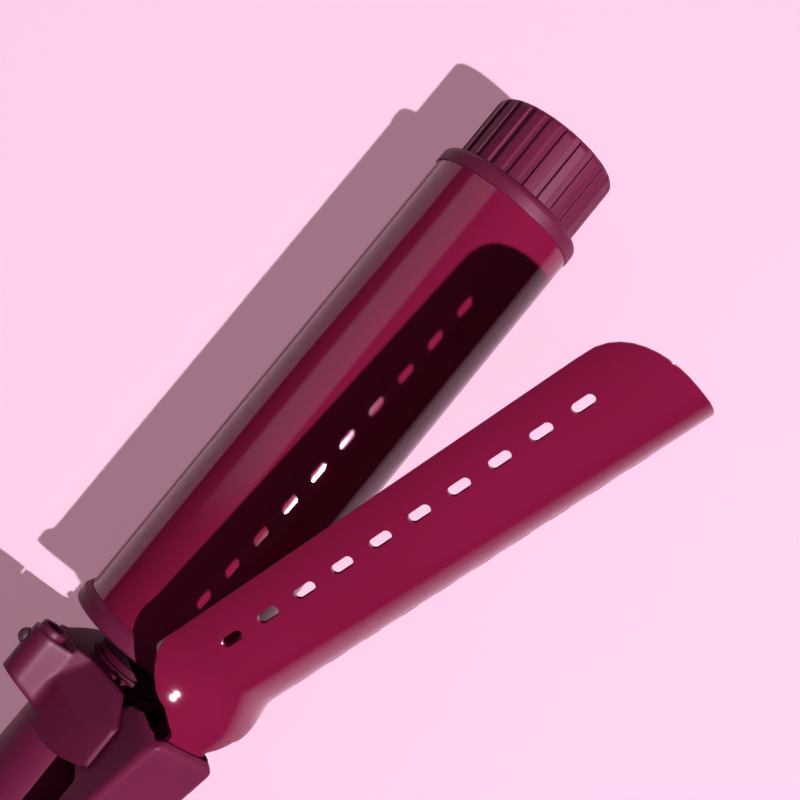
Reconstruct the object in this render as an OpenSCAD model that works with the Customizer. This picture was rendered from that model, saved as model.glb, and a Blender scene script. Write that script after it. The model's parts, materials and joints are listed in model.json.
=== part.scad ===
// Curling tongs with a sprung clamp, laid down on the feet and rings the way they rest on a table.
// Tool axes: x runs along the barrel towards the cool tip from the base ring's rear face,
// z points to the clamp's side and y sideways. lay() turns the finished tool into its resting pose.

/* [Barrel] */
// Outer diameter of the heated tube
barrel_d = 38; // [32:0.5:42]
// Wall of the heated tube
barrel_wall = 1.2; // [0.8:0.1:2]
// Visible length of the heated tube between its two rings
barrel_len = 124.2; // [100:0.5:150]

/* [Base ring] */
// How far the base ring stands proud of the tube
base_ring_lip = 1.1; // [0.8:0.1:2]
// Width of the base ring
base_ring_w = 4.4; // [3.5:0.1:7]
// Width of the base ring's front bevel
base_ring_bevel = 1.3; // [0.6:0.1:1.5]
// Depth of the tube's seat in the base ring
ring_seat = 2.8; // [1.5:0.1:3]

/* [Tip ring] */
// How far the tip ring stands proud of the tube
tip_ring_lip = 0.3; // [0.2:0.1:0.7]
// Width of the tip ring
tip_ring_w = 4.3; // [3.5:0.1:7]
// Rounding of the tip ring's outer edge
tip_ring_round = 2; // [0.5:0.1:2]
// Length of the spigot that plugs the tube
spigot_len = 7; // [4:0.5:12]

/* [Cool tip] */
// Diameter of the cool tip over its ribs
tip_d = 32.9; // [26:0.1:34]
// Length of the cool tip
tip_len = 17.1; // [13:0.1:30]
// Number of grooves round the cool tip
tip_grooves = 24; // [16:1:28]
// Width of a groove at the surface
groove_w = 1.9; // [1:0.1:2.2]
// Depth of a groove
groove_depth = 0.6; // [0.3:0.1:1]
// Rounding of the cool tip's end
tip_round = 2; // [1:0.1:4]
// Wall of the cool tip
tip_wall = 2.4; // [2:0.1:3]

/* [Heater] */
// Length of the heater cores
core_len = 74; // [50:1:90]
// Wall of a heater core
core_wall = 2; // [1.5:0.1:3]
// Width of the heating element
element_w = 18; // [12:1:20]
// Thickness of the heating element
element_t = 4.6; // [3:0.1:6]

/* [Neck] */
// Diameter of the neck between barrel and hinge collar
neck_d = 16.2; // [14:0.2:17]
// Bore of the neck for the wires
neck_bore_d = 11.5; // [11:0.5:12]
// Diameter of the neck's two flanges
flange_d = 18.2; // [17.6:0.2:19]
// Width of a flange
flange_w = 1.3; // [0.8:0.1:1.8]

/* [Hinge collar] */
// Distance from the base ring back to the collar's front face
collar_gap = 6.8; // [6:0.1:9]
// Length of the collar along the tool
collar_len = 15.8; // [15:0.1:24]
// Height of the arms' tops above the barrel axis
arm_top = 22.6; // [21:0.1:24]
// Height of the hinge pin above the barrel axis
hinge_z = 14; // [13:0.1:15]
// Distance from the base ring back to the hinge pin
hinge_back = 17.8; // [16:0.1:19]
// Sideways distance of an ear from the barrel axis
ear_y = 21.6; // [20.5:0.1:23]
// Depth of an ear's middle below the barrel axis
ear_drop = 1.7; // [0.5:0.1:3]
// Diameter of an ear
ear_d = 8.2; // [7:0.1:9]
// Diameter of the screw boss in front of an ear
boss_d = 6.4; // [5.6:0.1:6.8]
// Diameter of the screw recess in an ear
recess_d = 4.6; // [4:0.1:5]
// Depth of the screw recess below the boss
recess_depth = 3; // [2.4:0.1:3.4]
// Diameter of a foot pad's dome
foot_d = 3.8; // [3.2:0.1:4.6]
// Distance from an ear's middle to the middle of its foot pad's dome
foot_reach = 3.9; // [3.4:0.1:4.6]
// Angle of a foot pad below the sideways direction
foot_angle = 40; // [30:1:50]

/* [Hinge] */
// Diameter of the hinge pin
pin_d = 3; // [2.4:0.1:4]
// Angle that the clamp stands open
open_angle = 24.1; // [18:0.1:25]
// Diameter of the spring's wire
wire_d = 1; // [0.8:0.1:1.2]
// Number of whole turns of the spring
spring_turns = 5; // [4:1:6]

/* [Clamp] */
// Gap between the closed clamp and the heated tube
clamp_gap = 0.5; // [0.4:0.1:0.8]
// Thickness of the clamp's sheet
sheet_t = 1.2; // [0.8:0.1:1.5]
// Half the angle that the clamp covers round the barrel
clamp_half_angle = 55; // [48:1:60]
// Length of a corner of the clamp's free end, along the tool
corner_len = 15; // [8:0.5:20]
// Length of a vent slot
slot_len = 5; // [3:0.1:6]
// Width of a vent slot
slot_w = 2.2; // [1.5:0.1:3]
// Spacing of the vent slots
slot_pitch = 9.6; // [8:0.1:14]
// Angle of a row of slots from the clamp's middle
slot_angle = 33.3; // [20:0.1:36]
// Distance of the first slot from the base ring
slot_first = 24.1; // [22:0.1:30]
// Distance from the last slot's middle to the clamp's free end, at least
slot_end = 15; // [12:0.5:20]

/* [Thumb lever] */
// Outer width of the lever
lever_w = 19; // [18:0.1:19.2]
// Wall of the lever's cheeks
cheek_t = 1.4; // [1.2:0.1:1.8]
// Thickness of the lever's top
lever_t = 2; // [1.8:0.1:2.6]
// Rise of the lever towards the thumb, from the barrel's direction
lever_rise = 10.8; // [9:0.1:12]
// Length of the lever's channel behind the clamp
channel_len = 50; // [44:1:54]
// Length of the thumb pad
pad_len = 22; // [16:1:26]
// Width of the thumb pad
pad_w = 22; // [19.4:0.2:26]

/* [Handle] */
// Diameter of the handle at the collar
handle_d = 26.2; // [25:0.2:28]
// Diameter of the handle at its fullest
handle_full_d = 31; // [28:0.2:34]
// Length of the handle
handle_len = 122; // [118:1:160]
// Wall of the handle's shells
handle_wall = 2.2; // [1.8:0.1:2.6]
// Length of the end cap's visible rim
cap_len = 5; // [3:0.1:8]

/* [Controls] */
// Diameter of the power button
power_d = 9; // [7:0.2:10]
// Diameter of the plus and minus buttons
small_d = 7; // [5:0.2:7.4]
// How far the buttons stand proud of the panel
button_lip = 0.9; // [0.7:0.1:1.5]
// Travel of the buttons
button_travel = 0.6; // [0.4:0.1:0.6]
// Spacing of the controls along the handle
control_pitch = 11.5; // [11:0.1:13]

/* [Cord inlet] */
// Bore of the swivelling inlet for the cord
inlet_bore_d = 6.8; // [5:0.1:8]
// Diameter of the swivel's barrel
swivel_d = 15; // [13:0.2:17]
// Length of the inlet's nose behind the end cap
nose_len = 12; // [8:0.5:20]

/* [Hidden] */
$fn = 96;
cut = 0.01;
fit = 0.05;
seat = 0.15;
run = 0.3;

barrel_r = barrel_d / 2;
bore_r = barrel_r - barrel_wall;
base_ring_r = barrel_r + base_ring_lip;
tip_ring_r = barrel_r + tip_ring_lip;
tube_x0 = base_ring_w - ring_seat;
tube_x1 = base_ring_w + barrel_len;
tip_x0 = tube_x1 + tip_ring_w;
tip_x1 = tip_x0 + tip_len;
tip_r = tip_d / 2;

satin = "#6e2d46";
gloss = "#78143a";
steel = "#b9bcc0";
rubber = "#43202e";

// Points of an arc round c, from angle a0 to a1 in n steps
function arc(c, r, a0, a1, n) = [for (i = [0:n]) c + r * [cos(a0 + (a1 - a0) * i / n), sin(a0 + (a1 - a0) * i / n)]];
function mirrored(pts) = [for (i = [len(pts) - 1:-1:0]) [-pts[i][0], pts[i][1]]];
function unit(v) = v / norm(v);

// A profile of [radius, x] points turned round the barrel axis
module turned(profile) {
    rotate([0, 90, 0]) rotate_extrude() polygon(profile);
}
// The same over a sector, half_angle to each side of +z
module turned_sector(profile, half_angle) {
    rotate([0, 90, 0]) rotate([0, 0, 180 - half_angle]) rotate_extrude(angle = 2 * half_angle) polygon(profile);
}
// A [y, z] outline carried along x
module along_x(x0, x1) {
    translate([x0, 0, 0]) rotate([90, 0, 90]) linear_extrude(x1 - x0) children();
}
// An [x, z] outline carried along y
module across_y(y0, y1) {
    translate([0, y1, 0]) rotate([90, 0, 0]) linear_extrude(y1 - y0) children();
}
// A cylinder along x
module rod_x(x0, x1, r) {
    translate([x0, 0, 0]) rotate([0, 90, 0]) cylinder(h = x1 - x0, r = r);
}
// A cylinder along y
module rod_y(y0, y1, r) {
    translate([0, y1, 0]) rotate([90, 0, 0]) cylinder(h = y1 - y0, r = r);
}
module both_sides() {
    children();
    mirror([0, 1, 0]) children();
}

/* The heated barrel */

module barrel_tube() {
    color(gloss) difference() {
        rod_x(tube_x0, tube_x1, barrel_r);
        rod_x(tube_x0 - 1, tube_x1 + 1, bore_r);
    }
}

module base_ring() {
    edge = 0.8;
    color(satin) turned(concat(
        [[hub_r + fit, 0]],
        arc([base_ring_r - edge, edge], edge, -90, 0, 6),
        [[base_ring_r, base_ring_w - base_ring_bevel],
         [barrel_r + base_ring_lip * 0.3, base_ring_w],
         [barrel_r + fit, base_ring_w],
         [barrel_r + fit, tube_x0],
         [hub_r + fit, tube_x0]]));
}

web_t = 2.4;
pilot_len = 3.4;
pilot_r = tip_r - tip_wall - fit;
tip_screw_r = 1.5;
tip_screw_head_r = 2.9;
tip_screw_head = 2.2;
boss_r = 4.2;

module tip_ring() {
    color(satin) difference() {
        turned(concat(
            [[0, tube_x1 - web_t], [bore_r - fit - 2, tube_x1 - web_t],
             [bore_r - fit - 2, tube_x1 - spigot_len], [bore_r - fit, tube_x1 - spigot_len],
             [bore_r - fit, tube_x1], [tip_ring_r, tube_x1]],
            arc([tip_ring_r - tip_ring_round, tip_x0 - tip_ring_round], tip_ring_round, 0, 90, 8),
            [[pilot_r, tip_x0], [pilot_r, tip_x0 + pilot_len],
             [pilot_r - 1.8, tip_x0 + pilot_len], [pilot_r - 1.8, tube_x1], [0, tube_x1]]));
        rod_x(tube_x1 - web_t - 1, tube_x1 + 1, tip_screw_r + fit);
    }
}

module cool_tip() {
    cavity_r = tip_r - tip_wall;
    floor_x = tip_x1 - tip_wall;
    turn = 2.8;
    color(satin) difference() {
        union() {
            difference() {
                turned(concat(
                    [[cavity_r, tip_x0], [tip_r, tip_x0]],
                    arc([tip_r - tip_round, tip_x1 - tip_round], tip_round, 0, 90, 8),
                    [[0, tip_x1], [0, floor_x], [cavity_r, floor_x]]));
                for (i = [0:tip_grooves - 1])
                    rotate([turn + i * 360 / tip_grooves, 0, 0]) along_x(tip_x0 - 1, tip_x1 + 1) tip_groove();
            }
            rod_x(tube_x1 + cut, floor_x + cut, boss_r);
        }
        rod_x(tube_x1 - 1, floor_x - 1, tip_screw_r + fit);
    }
}

// Section of a groove: a shallow trapezoid open to the outside
module tip_groove() {
    floor_w = groove_w * 0.8;
    polygon([[-floor_w / 2, tip_r - groove_depth], [floor_w / 2, tip_r - groove_depth],
             [groove_w / 2 + 0.2, tip_r + 0.6], [-groove_w / 2 - 0.2, tip_r + 0.6]]);
}

module tip_screw() {
    head_x = tube_x1 - web_t;
    color(steel) difference() {
        union() {
            rod_x(head_x - tip_screw_head, head_x, tip_screw_head_r);
            rod_x(head_x - 1, tube_x1 + 9, tip_screw_r);
        }
        rod_x(head_x - tip_screw_head - 1, head_x - 1, 1.2, $fn = 6);
    }
}

core_x0 = base_ring_w + (barrel_len - core_len) / 2;
core_x1 = core_x0 + core_len;
core_r = bore_r - 0.1;
element_gap = element_t / 2 + 0.35;
film_t = 0.2;

// Half of the split aluminium core: an arc that meets the tube, two webs and the pad on the element
module core_half() {
    pad_t = 2.4;
    web_y = element_w / 2 - 2;
    difference() {
        circle(r = core_r);
        circle(r = core_r - core_wall);
        translate([-barrel_r, element_gap - 2 * barrel_r]) square(2 * barrel_r);
    }
    translate([-element_w / 2, element_gap]) square([element_w, pad_t]);
    intersection() {
        circle(r = core_r - cut);
        union() {
            for (s = [-1, 1]) translate([s * web_y - 0.9, element_gap]) square([1.8, barrel_r]);
        }
    }
}

module heater_core_upper() {
    color("#aeb2b6") along_x(core_x0, core_x1) core_half();
}

module heater_core_lower() {
    color("#aeb2b6") rotate([180, 0, 0]) along_x(core_x0, core_x1) core_half();
}

// How far the element stands out behind the cores, where the leads are joined to it
element_tail = 4;

module heating_element() {
    w = element_w - 2;
    color("#8d8b86") translate([core_x0 - element_tail, -w / 2, -element_t / 2])
        cube([core_len + element_tail - 2, w, element_t]);
}

module heater_film() {
    w = element_w - 2 + 0.1;
    t = element_t + 0.1;
    len = core_len + element_tail - 1;
    color("#c98a3a") translate([core_x0 - element_tail, 0, 0]) difference() {
        translate([0, -w / 2 - film_t, -t / 2 - film_t]) cube([len, w + 2 * film_t, t + 2 * film_t]);
        translate([-1, -w / 2, -t / 2]) cube([len + 2, w, t]);
    }
}

lead_r = 0.8;
lead_y = 3.4;
lead_z = element_t / 2 + 0.05 + film_t + lead_r + fit;
lead_end = 8;

module thermal_fuse() {
    fuse_r = 1.7;
    color("#d8d2c4") translate([core_x0 + 4, 0, element_gap + 2.4 + fuse_r + fit]) rod_x(0, 11, fuse_r);
}

module temperature_sensor() {
    bead_r = 1.3;
    color("#33363a") translate([core_x0 + 24, 0, element_gap + 2.4 + bead_r + fit]) rod_x(0, 6, bead_r);
}

module heater_leads() {
    color("#e6e1d6") for (s = [-1, 1])
        translate([0, s * lead_y, lead_z]) rod_x(board_x1 - lead_end, core_x0 - 0.5, lead_r);
}

/* The neck and the hinge collar */

hub_r = bore_r - fit;
neck_r = neck_d / 2;
neck_end = collar_gap + collar_len + 7;
flange_r = flange_d / 2;
collar_x1 = -collar_gap;
collar_x0 = collar_x1 - collar_len;

module barrel_hub() {
    plug_len = 9;
    wall = 2.2;
    first = -collar_gap + 2.4;
    second = -collar_gap + 0.6;
    color(rubber) difference() {
        union() {
            turned([[neck_bore_d / 2, 0.4], [hub_r, 0.4], [hub_r, plug_len], [hub_r - wall, plug_len],
                    [hub_r - wall, 0.4 + wall], [neck_bore_d / 2, 0.4 + wall]]);
            rod_x(-neck_end, 0.4 + wall, neck_r);
            rod_x(first - flange_w, first, flange_r - 0.3);
            rod_x(second - 1.5 * flange_w, second, flange_r);
            rod_x(-neck_end, -neck_end + 1.6, neck_r + 1.4);
        }
        rod_x(-neck_end - 1, plug_len, neck_bore_d / 2);
    }
}

arm_inner = lever_w / 2 + 0.5;
arm_root = [arm_inner + 7.5, 3.5];
arm_tip = [arm_inner + 0.5, arm_top];
arm_bulge = 0.8;
arm_swell = 3;
slot_floor = 8.5;
ear_r = ear_d / 2;
ear = [ear_y, -ear_drop];
keel = -17.6;
ear_front = collar_x1 - 1.4;
ear_rear = collar_x0 + 3.2;

// Where a line from p touches the circle round c, on the side that side (1 or -1) gives
function tangent(p, c, r, side) =
    let (v = c - p, d = norm(v), a = atan2(v[1], v[0]) + side * asin(r / d), t = sqrt(d * d - r * r))
    p + t * [cos(a), sin(a)];
// Points of the shallow arc from a to b that bulges by h to the right
function bulged(a, b, h, n) =
    let (m = (a + b) / 2, v = b - a, d = norm(v), r = (d * d / 4 + h * h) / (2 * h),
         u = [v[1], -v[0]] / d, c = m + (h - r) * u,
         a0 = atan2(a[1] - c[1], a[0] - c[0]))
    arc(c, r, a0, a0 + 2 * asin(d / 2 / r), n);

// Points of the fillet in the corner at p, between the directions of a and b
function filleted(p, a, b, r, n) =
    let (pa = p + r * unit(a - p), pb = p + r * unit(b - p))
    [for (i = [0:n]) let (t = i / n) (1 - t) * (1 - t) * pa + 2 * t * (1 - t) * p + t * t * pb];

// Right half of the collar's lower body, from the keel up to the shelf at the arm's root
function body_half() = concat(
    [[1.2, keel + 0.3], [5.6, -14.5], [9.6, -11.7], [15, -7.6]],
    [tangent([15, -7.6], ear, ear_r, -1), ear, tangent(arm_root, ear, ear_r, 1)],
    [arm_root, [arm_inner, slot_floor]]);

module body_outline() {
    polygon(concat(body_half(), mirrored(body_half())));
}

module arm_outline() {
    outer = bulged(arm_root, arm_tip, arm_bulge, 6);
    polygon(concat([[arm_inner, slot_floor - 4]], outer, [[arm_inner, arm_top]]));
    polygon(concat([arm_root], filleted(arm_root, tangent(arm_root, ear, ear_r, 1), outer[1], 1.6, 5)));
}

// The arm seen from the side: its rear edge swells back over the handle's front
module arm_side() {
    front = collar_x1 + 1;
    polygon(concat([[front, arm_top + 1], [collar_x0 + 0.7, arm_top + 1]],
        bulged([collar_x0 + 0.7, arm_top], [collar_x0, arm_root[1]], arm_swell, 8),
        [[collar_x0, 0], [front, 0]]));
}

chamfer_back = 5;
chamfer_drop = 6;
chamfer_foot = 7.4;

// The sloping cut that takes the front off an arm, through its top and its lower front corner
module arm_chamfer() {
    top = [collar_x1 - chamfer_back, arm_inner, arm_top];
    corner = [collar_x1 + 0.2, arm_inner, arm_top - chamfer_drop];
    foot = [collar_x1 - chamfer_foot, arm_root[0], arm_root[1]];
    n = cross(corner - top, foot - top);
    u = n / norm(n);
    translate(top) rotate([0, acos(u[2]), atan2(u[1], u[0])]) translate([-30, -30, 0]) cube([60, 60, 30]);
}

module collar_arm() {
    difference() {
        intersection() {
            along_x(collar_x0 - arm_swell, collar_x1) arm_outline();
            across_y(0, 2 * barrel_r) arm_side();
        }
        arm_chamfer();
    }
}

module collar_ear() {
    translate([0, ear[0], ear[1]]) {
        rod_x(collar_x0, ear_front, ear_r);
        rod_x(ear_front - cut, collar_x1 + 0.3, boss_d / 2);
    }
}

module collar_side() {
    collar_arm();
    collar_ear();
}

screw_r = 1.2;
recess_x = collar_x1 + 0.3 - recess_depth;
foot_x = collar_x1 - 5;
foot_stem_r = 1.4;
foot_dir = [cos(foot_angle), -sin(foot_angle)];

module ear_cuts() {
    translate([0, ear[0], ear[1]]) {
        rod_x(recess_x, collar_x1 + 1, recess_d / 2);
        rod_x(ear_rear + 1.4, recess_x + 1, screw_r + fit);
        translate([foot_x, 0, 0]) rotate([-90 - foot_angle, 0, 0])
            translate([0, 0, screw_r + 0.5]) cylinder(h = ear_r, r = foot_stem_r + fit);
    }
    // the ear's rear face leans forward away from the handle
    translate([collar_x0, arm_root[0] - 1, -30]) rotate([0, 0, -20]) translate([-40, 0, 0]) cube([40, 40, 60]);
}

module hinge_collar() {
    color(satin) difference() {
        union() {
            difference() {
                along_x(collar_x0, collar_x1) body_outline();
                // the shelf in front of the ears stands back from the arms
                translate([ear_front, arm_root[0], -20]) cube([10, 10, 25]);
                mirror([0, 1, 0]) translate([ear_front, arm_root[0], -20]) cube([10, 10, 25]);
            }
            both_sides() collar_side();
        }
        both_sides() ear_cuts();
        rod_x(collar_x0 - 1, collar_x1 + 1, neck_r + fit);
        // the arms reach back over the handle's front end
        rod_x(collar_x0 - 20, collar_x0, handle_r + run);
        rod_x(collar_x1 - 1.8, collar_x1 + 1, flange_r + run);
        translate([-hinge_back, 0, hinge_z]) rod_y(-arm_root[0] - 2, pin_y, pin_d / 2 + 0.02);
    }
}

pin_y = arm_inner + 2.2;

module ear_screws() {
    color(steel) both_sides() translate([0, ear[0], ear[1]]) difference() {
        union() {
            rod_x(recess_x + 0.02, recess_x + 1.8, recess_d / 2 - 0.15);
            rod_x(ear_rear + 1.6, recess_x + 1, screw_r);
        }
        rod_x(recess_x + 1, recess_x + 3, 0.9, $fn = 6);
    }
}

module foot_pads() {
    color(rubber) both_sides() translate([foot_x, ear[0], ear[1]]) rotate([-90 - foot_angle, 0, 0]) {
        translate([0, 0, screw_r + 0.6]) cylinder(h = foot_reach - screw_r - 0.5, r = foot_stem_r);
        intersection() {
            translate([0, 0, foot_reach]) sphere(r = foot_d / 2);
            difference() {
                translate([0, 0, screw_r]) cylinder(h = 20, r = foot_d / 2 + 1);
                translate([-20, 0, 0]) rotate([0, 90, 0]) cylinder(h = 40, r = ear_r + 0.02);
            }
        }
    }
}

module hinge_pin() {
    color(steel) translate([-hinge_back, 0, hinge_z]) rod_y(-pin_y - 0.2, pin_y - 0.1, pin_d / 2);
}

/* The clamp and its lever, drawn closed and then swung open round the pin */

module opened() {
    translate([-hinge_back, 0, hinge_z]) rotate([0, -open_angle, 0]) translate([hinge_back, 0, -hinge_z]) children();
}

clamp_r = barrel_r + clamp_gap + sheet_t;
clamp_x1 = tube_x1 + 0.5;
flare_x = 16;
flare_mid = 7.2;
flare_angle = 31;
flare_r1 = (flare_x - flare_mid) / sin(flare_angle);
flare_r2 = flare_mid / (sin(flare_angle) - sin(lever_rise));
flare_z1 = clamp_r + flare_r1 * (1 - cos(flare_angle));
flare_z0 = flare_z1 + flare_r2 * (cos(lever_rise) - cos(flare_angle));
tongue_len = 14;
rise = tan(lever_rise);
tongue_half = 5.2;

// The flared base of the clamp, as [radius, x] points from its free side to the lever
function flare_curve(off) = concat(
    arc([clamp_r + flare_r1, flare_x], flare_r1 + off, 180, 180 + flare_angle, 7),
    arc([flare_z1 - flare_r2 * cos(flare_angle), flare_mid - flare_r2 * sin(flare_angle)], flare_r2 - off,
        flare_angle, lever_rise, 6));
function tongue_line(off) = [[flare_z0 - off / cos(lever_rise) + rise * tongue_len, -tongue_len]];

function sheet_profile() = concat(
    [[clamp_r, clamp_x1]], flare_curve(0), tongue_line(0),
    [for (p = tongue_line(sheet_t)) p],
    [for (i = [14:-1:0]) flare_curve(sheet_t)[i]],
    [[clamp_r - sheet_t, clamp_x1]]);

rim_y = clamp_r * sin(clamp_half_angle);
shoulder_x = 4.4;
shoulder_r = 6.5;
corner_steps = 10;

// Points of the free end's corner: a quarter of a superellipse, fuller than a circle
function free_corner(i) = let (a = 90 * i / corner_steps, p = 2 / 2.8)
    [clamp_x1 - corner_len * (1 - pow(sin(a), p)), (rim_y + 0.05) * pow(max(cos(a), 0), p)];

// The clamp seen from above: rounded free corners, and shoulders that draw in to the lever
module clamp_plan() {
    half = concat(
        [[-tongue_len, tongue_half], [lever_front + 0.7, tongue_half], [shoulder_x - 1.9, tongue_half + 2.4],
         [shoulder_x - 0.8, tongue_half + 4.2]],
        arc([shoulder_x + shoulder_r, rim_y + 0.2 - shoulder_r], shoulder_r, 180, 90, 6),
        [[clamp_x1 + 1, rim_y + 0.2]]);
    polygon(concat(half, [for (i = [len(half) - 1:-1:0]) [half[i][0], -half[i][1]]]));
}

// The corners of the free end are cut square to the sheet, along a direction tilted to their side
corner_tilt = 42;

module free_corner_cut() {
    rotate([-corner_tilt, 0, 0]) linear_extrude(3 * barrel_r) polygon(concat(
        [for (i = [0:corner_steps]) let (c = free_corner(i), a = asin(min(c[1], rim_y) / clamp_r))
            [c[0], clamp_r * sin(a - corner_tilt)]],
        [[clamp_x1 + 2, -clamp_r * sin(corner_tilt)], [clamp_x1 + 2, barrel_r], [clamp_x1 - corner_len, barrel_r]]));
}

slot_count = floor((clamp_x1 - slot_end - slot_first) / slot_pitch) + 1;

module vent_slot() {
    straight = slot_len - slot_w;
    translate([0, 0, clamp_r - sheet_t - 2]) linear_extrude(sheet_t + 4) {
        square([straight, slot_w], center = true);
        for (s = [-1, 1]) translate([s * straight / 2, 0]) circle(r = slot_w / 2);
    }
}

lever_screw_x = [-4, -10];
lever_screw_y = 3;
rivet_r = 1.1;
rivet_head_r = 2;
rivet_head_t = 0.75;

// Height of the sheet's top over the barrel axis at a place on the tongue
function tongue_z(x) = flare_z0 - rise * x;

module at_lever_screws() {
    for (x = lever_screw_x, s = [-1, 1])
        translate([x, s * lever_screw_y, tongue_z(x)]) rotate([0, lever_rise, 0]) children();
}

module clamp_plate() {
    color(gloss) opened() difference() {
        intersection() {
            turned_sector(sheet_profile(), clamp_half_angle);
            linear_extrude(3 * barrel_r) clamp_plan();
        }
        for (i = [0:slot_count - 1], s = [-1, 1])
            rotate([s * slot_angle, 0, 0]) translate([slot_first + i * slot_pitch, 0, 0]) vent_slot();
        both_sides() free_corner_cut();
        at_lever_screws() translate([0, 0, -6]) cylinder(h = 12, r = rivet_r + 0.2);
    }
}

lever_front = 0.6;
channel_back = lever_front - channel_len;
lever_gap = 0.1;
edge_r = 2;
nose_r = 1.9;

// Along the lever: s runs back from its front edge, on the sheet's slope
module on_slope() {
    translate([lever_front, 0, tongue_z(lever_front) + lever_gap + lever_t / cos(lever_rise)])
        rotate([0, lever_rise, 0]) children();
}

// Section of the channel's top in [y, z], its outer face at z 0
module channel_section() {
    w = lever_w / 2;
    polygon(concat(
        arc([w - edge_r, -edge_r], edge_r, 0, 90, 6), arc([-w + edge_r, -edge_r], edge_r, 90, 180, 6),
        [[-w, -edge_r - 2], [-w + cheek_t, -edge_r - 2], [-w + cheek_t, -lever_t],
         [w - cheek_t, -lever_t], [w - cheek_t, -edge_r - 2], [w, -edge_r - 2]]));
}

// A cheek seen from the side, from the lever's front down to the hinge and back along the rim
module cheek_outline() {
    top = tongue_z(lever_front) + lever_gap + lever_t - edge_r;
    rim = tan(open_angle + 2);
    back_z = hinge_z + 9 + rim * (channel_len - 26);
    difference() {
        union() {
            polygon([
                [lever_front, top], [lever_front - 1.3, top - 1.4], [lever_front - 2.3, top - 3.5],
                [lever_front - 2.8, top - 5.6], [lever_front - 3.6, top - 8], [lever_front - 5.9, top - 10.6],
                [-hinge_back + 3, hinge_z - 3], [-hinge_back - 4.2, hinge_z], [-hinge_back - 4.8, hinge_z + 10],
                [channel_back, back_z], [channel_back, top + rise * channel_len - 0.2]]);
            translate([-hinge_back, hinge_z]) circle(r = knuckle_r);
        }
        translate([-hinge_back, hinge_z]) circle(r = pin_d / 2 + 0.06);
    }
}

knuckle_r = 4.4;
boss_y = lever_w / 2 - cheek_t - 1.5;

front_round = 4.5;

module thumb_lever() {
    color(satin) opened() difference() {
        union() {
            on_slope() intersection() {
                along_x(-channel_len, 0) channel_section();
                across_y(-lever_w, lever_w) polygon(concat(arc([-nose_r, -nose_r], nose_r, 0, 90, 8),
                    [[-channel_len, 0], [-channel_len, -9], [0, -9]]));
            }
            both_sides() across_y(lever_w / 2 - cheek_t, lever_w / 2) cheek_outline();
            both_sides() translate([-hinge_back, 0, hinge_z]) difference() {
                rod_y(boss_y, lever_w / 2 - cheek_t + cut, knuckle_r);
                rod_y(boss_y - 1, lever_w / 2, pin_d / 2 + 0.06);
            }
            thumb_pad();
        }
        at_lever_screws() cylinder(h = lever_t - 0.5, r = rivet_r + fit);
        // the front corners are rounded, seen from above
        both_sides() translate([lever_front - front_round, lever_w / 2 - front_round, hinge_z]) difference() {
            cube([front_round + 1, front_round + 1, 2 * barrel_r]);
            translate([0, 0, -1]) cylinder(h = 2 * barrel_r + 2, r = front_round);
        }
    }
}

// The thumb pad: a plate that carries the lever's top on and curls up to its end
module thumb_pad() {
    bend = pad_len * 1.9;
    turn = 28;
    t = 2.6;
    on_slope() translate([-channel_len + 3, 0, 0]) intersection() {
        across_y(-pad_w / 2, pad_w / 2) polygon(concat(
            [[0, 0]], arc([-3, bend], bend, -90, -90 - turn, 8),
            arc([-3, bend], bend + t, -90 - turn, -90, 8), [[0, -t]]));
        translate([0, 0, -5]) linear_extrude(20) pad_plan();
    }
    for (i = [0:3]) on_slope() translate([-channel_len, 0, bend]) rotate([0, 8 + 5 * i, 0])
        translate([0, 0, -bend + 0.1]) rod_y(-pad_w / 2 + 4, pad_w / 2 - 4, 0.5);
}

module pad_plan() {
    w = pad_w / 2;
    polygon(concat([[0.1, lever_w / 2], [-2, lever_w / 2], [-6, w]],
        arc([-bend_len + 8, w - 8], 8, 90, 180, 6), arc([-bend_len + 8, -w + 8], 8, 180, 270, 6),
        [[-6, -w], [-2, -lever_w / 2], [0.1, -lever_w / 2]]));
}

bend_len = pad_len;

// A head's face stands as far in as the curved sheet at the head's outer edge
function head_drop(x) = tongue_z(x) - sqrt(tongue_z(x) ^ 2 - (lever_screw_y + rivet_head_r) ^ 2);

module lever_screws() {
    color(steel) opened() for (x = lever_screw_x, s = [-1, 1])
        translate([x, s * lever_screw_y, tongue_z(x)]) rotate([0, lever_rise, 0]) {
            face = -sheet_t - head_drop(x) - 0.1;
            translate([0, 0, face - rivet_head_t]) cylinder(h = rivet_head_t, r = rivet_head_r);
            translate([0, 0, face - cut]) cylinder(h = lever_t - 0.7 - face, r = rivet_r);
        }
}

/* The spring round the hinge pin: a helix with a leg to the collar and one under the lever */

coil_r = pin_d / 2 + wire_d / 2 + 0.9;
coil_pitch = wire_d + 0.55;
rest_leg = 14;
push_leg = 60;
total_turns = spring_turns + (push_leg - rest_leg) / 360;
coil_y0 = -coil_pitch * total_turns / 2;
start_angle = -90 - rest_leg;
end_angle = start_angle - 360 * total_turns;
coil_rings = 8 * ceil(total_turns);

function coil_angle(t) = start_angle + (end_angle - start_angle) * t;
function coil_point(t) = [-hinge_back + coil_r * cos(coil_angle(t)), coil_y0 + coil_pitch * total_turns * t,
                          hinge_z + coil_r * sin(coil_angle(t))];
coil_ends = [coil_point(0), coil_point(1)];
end_dir = [sin(end_angle), 0, -cos(end_angle)];
start_dir = [cos(rest_leg), 0, -sin(rest_leg)];
start_len = (coil_ends[0][2] - slot_floor - wire_d / 2 - fit) / sin(rest_leg);
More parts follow.
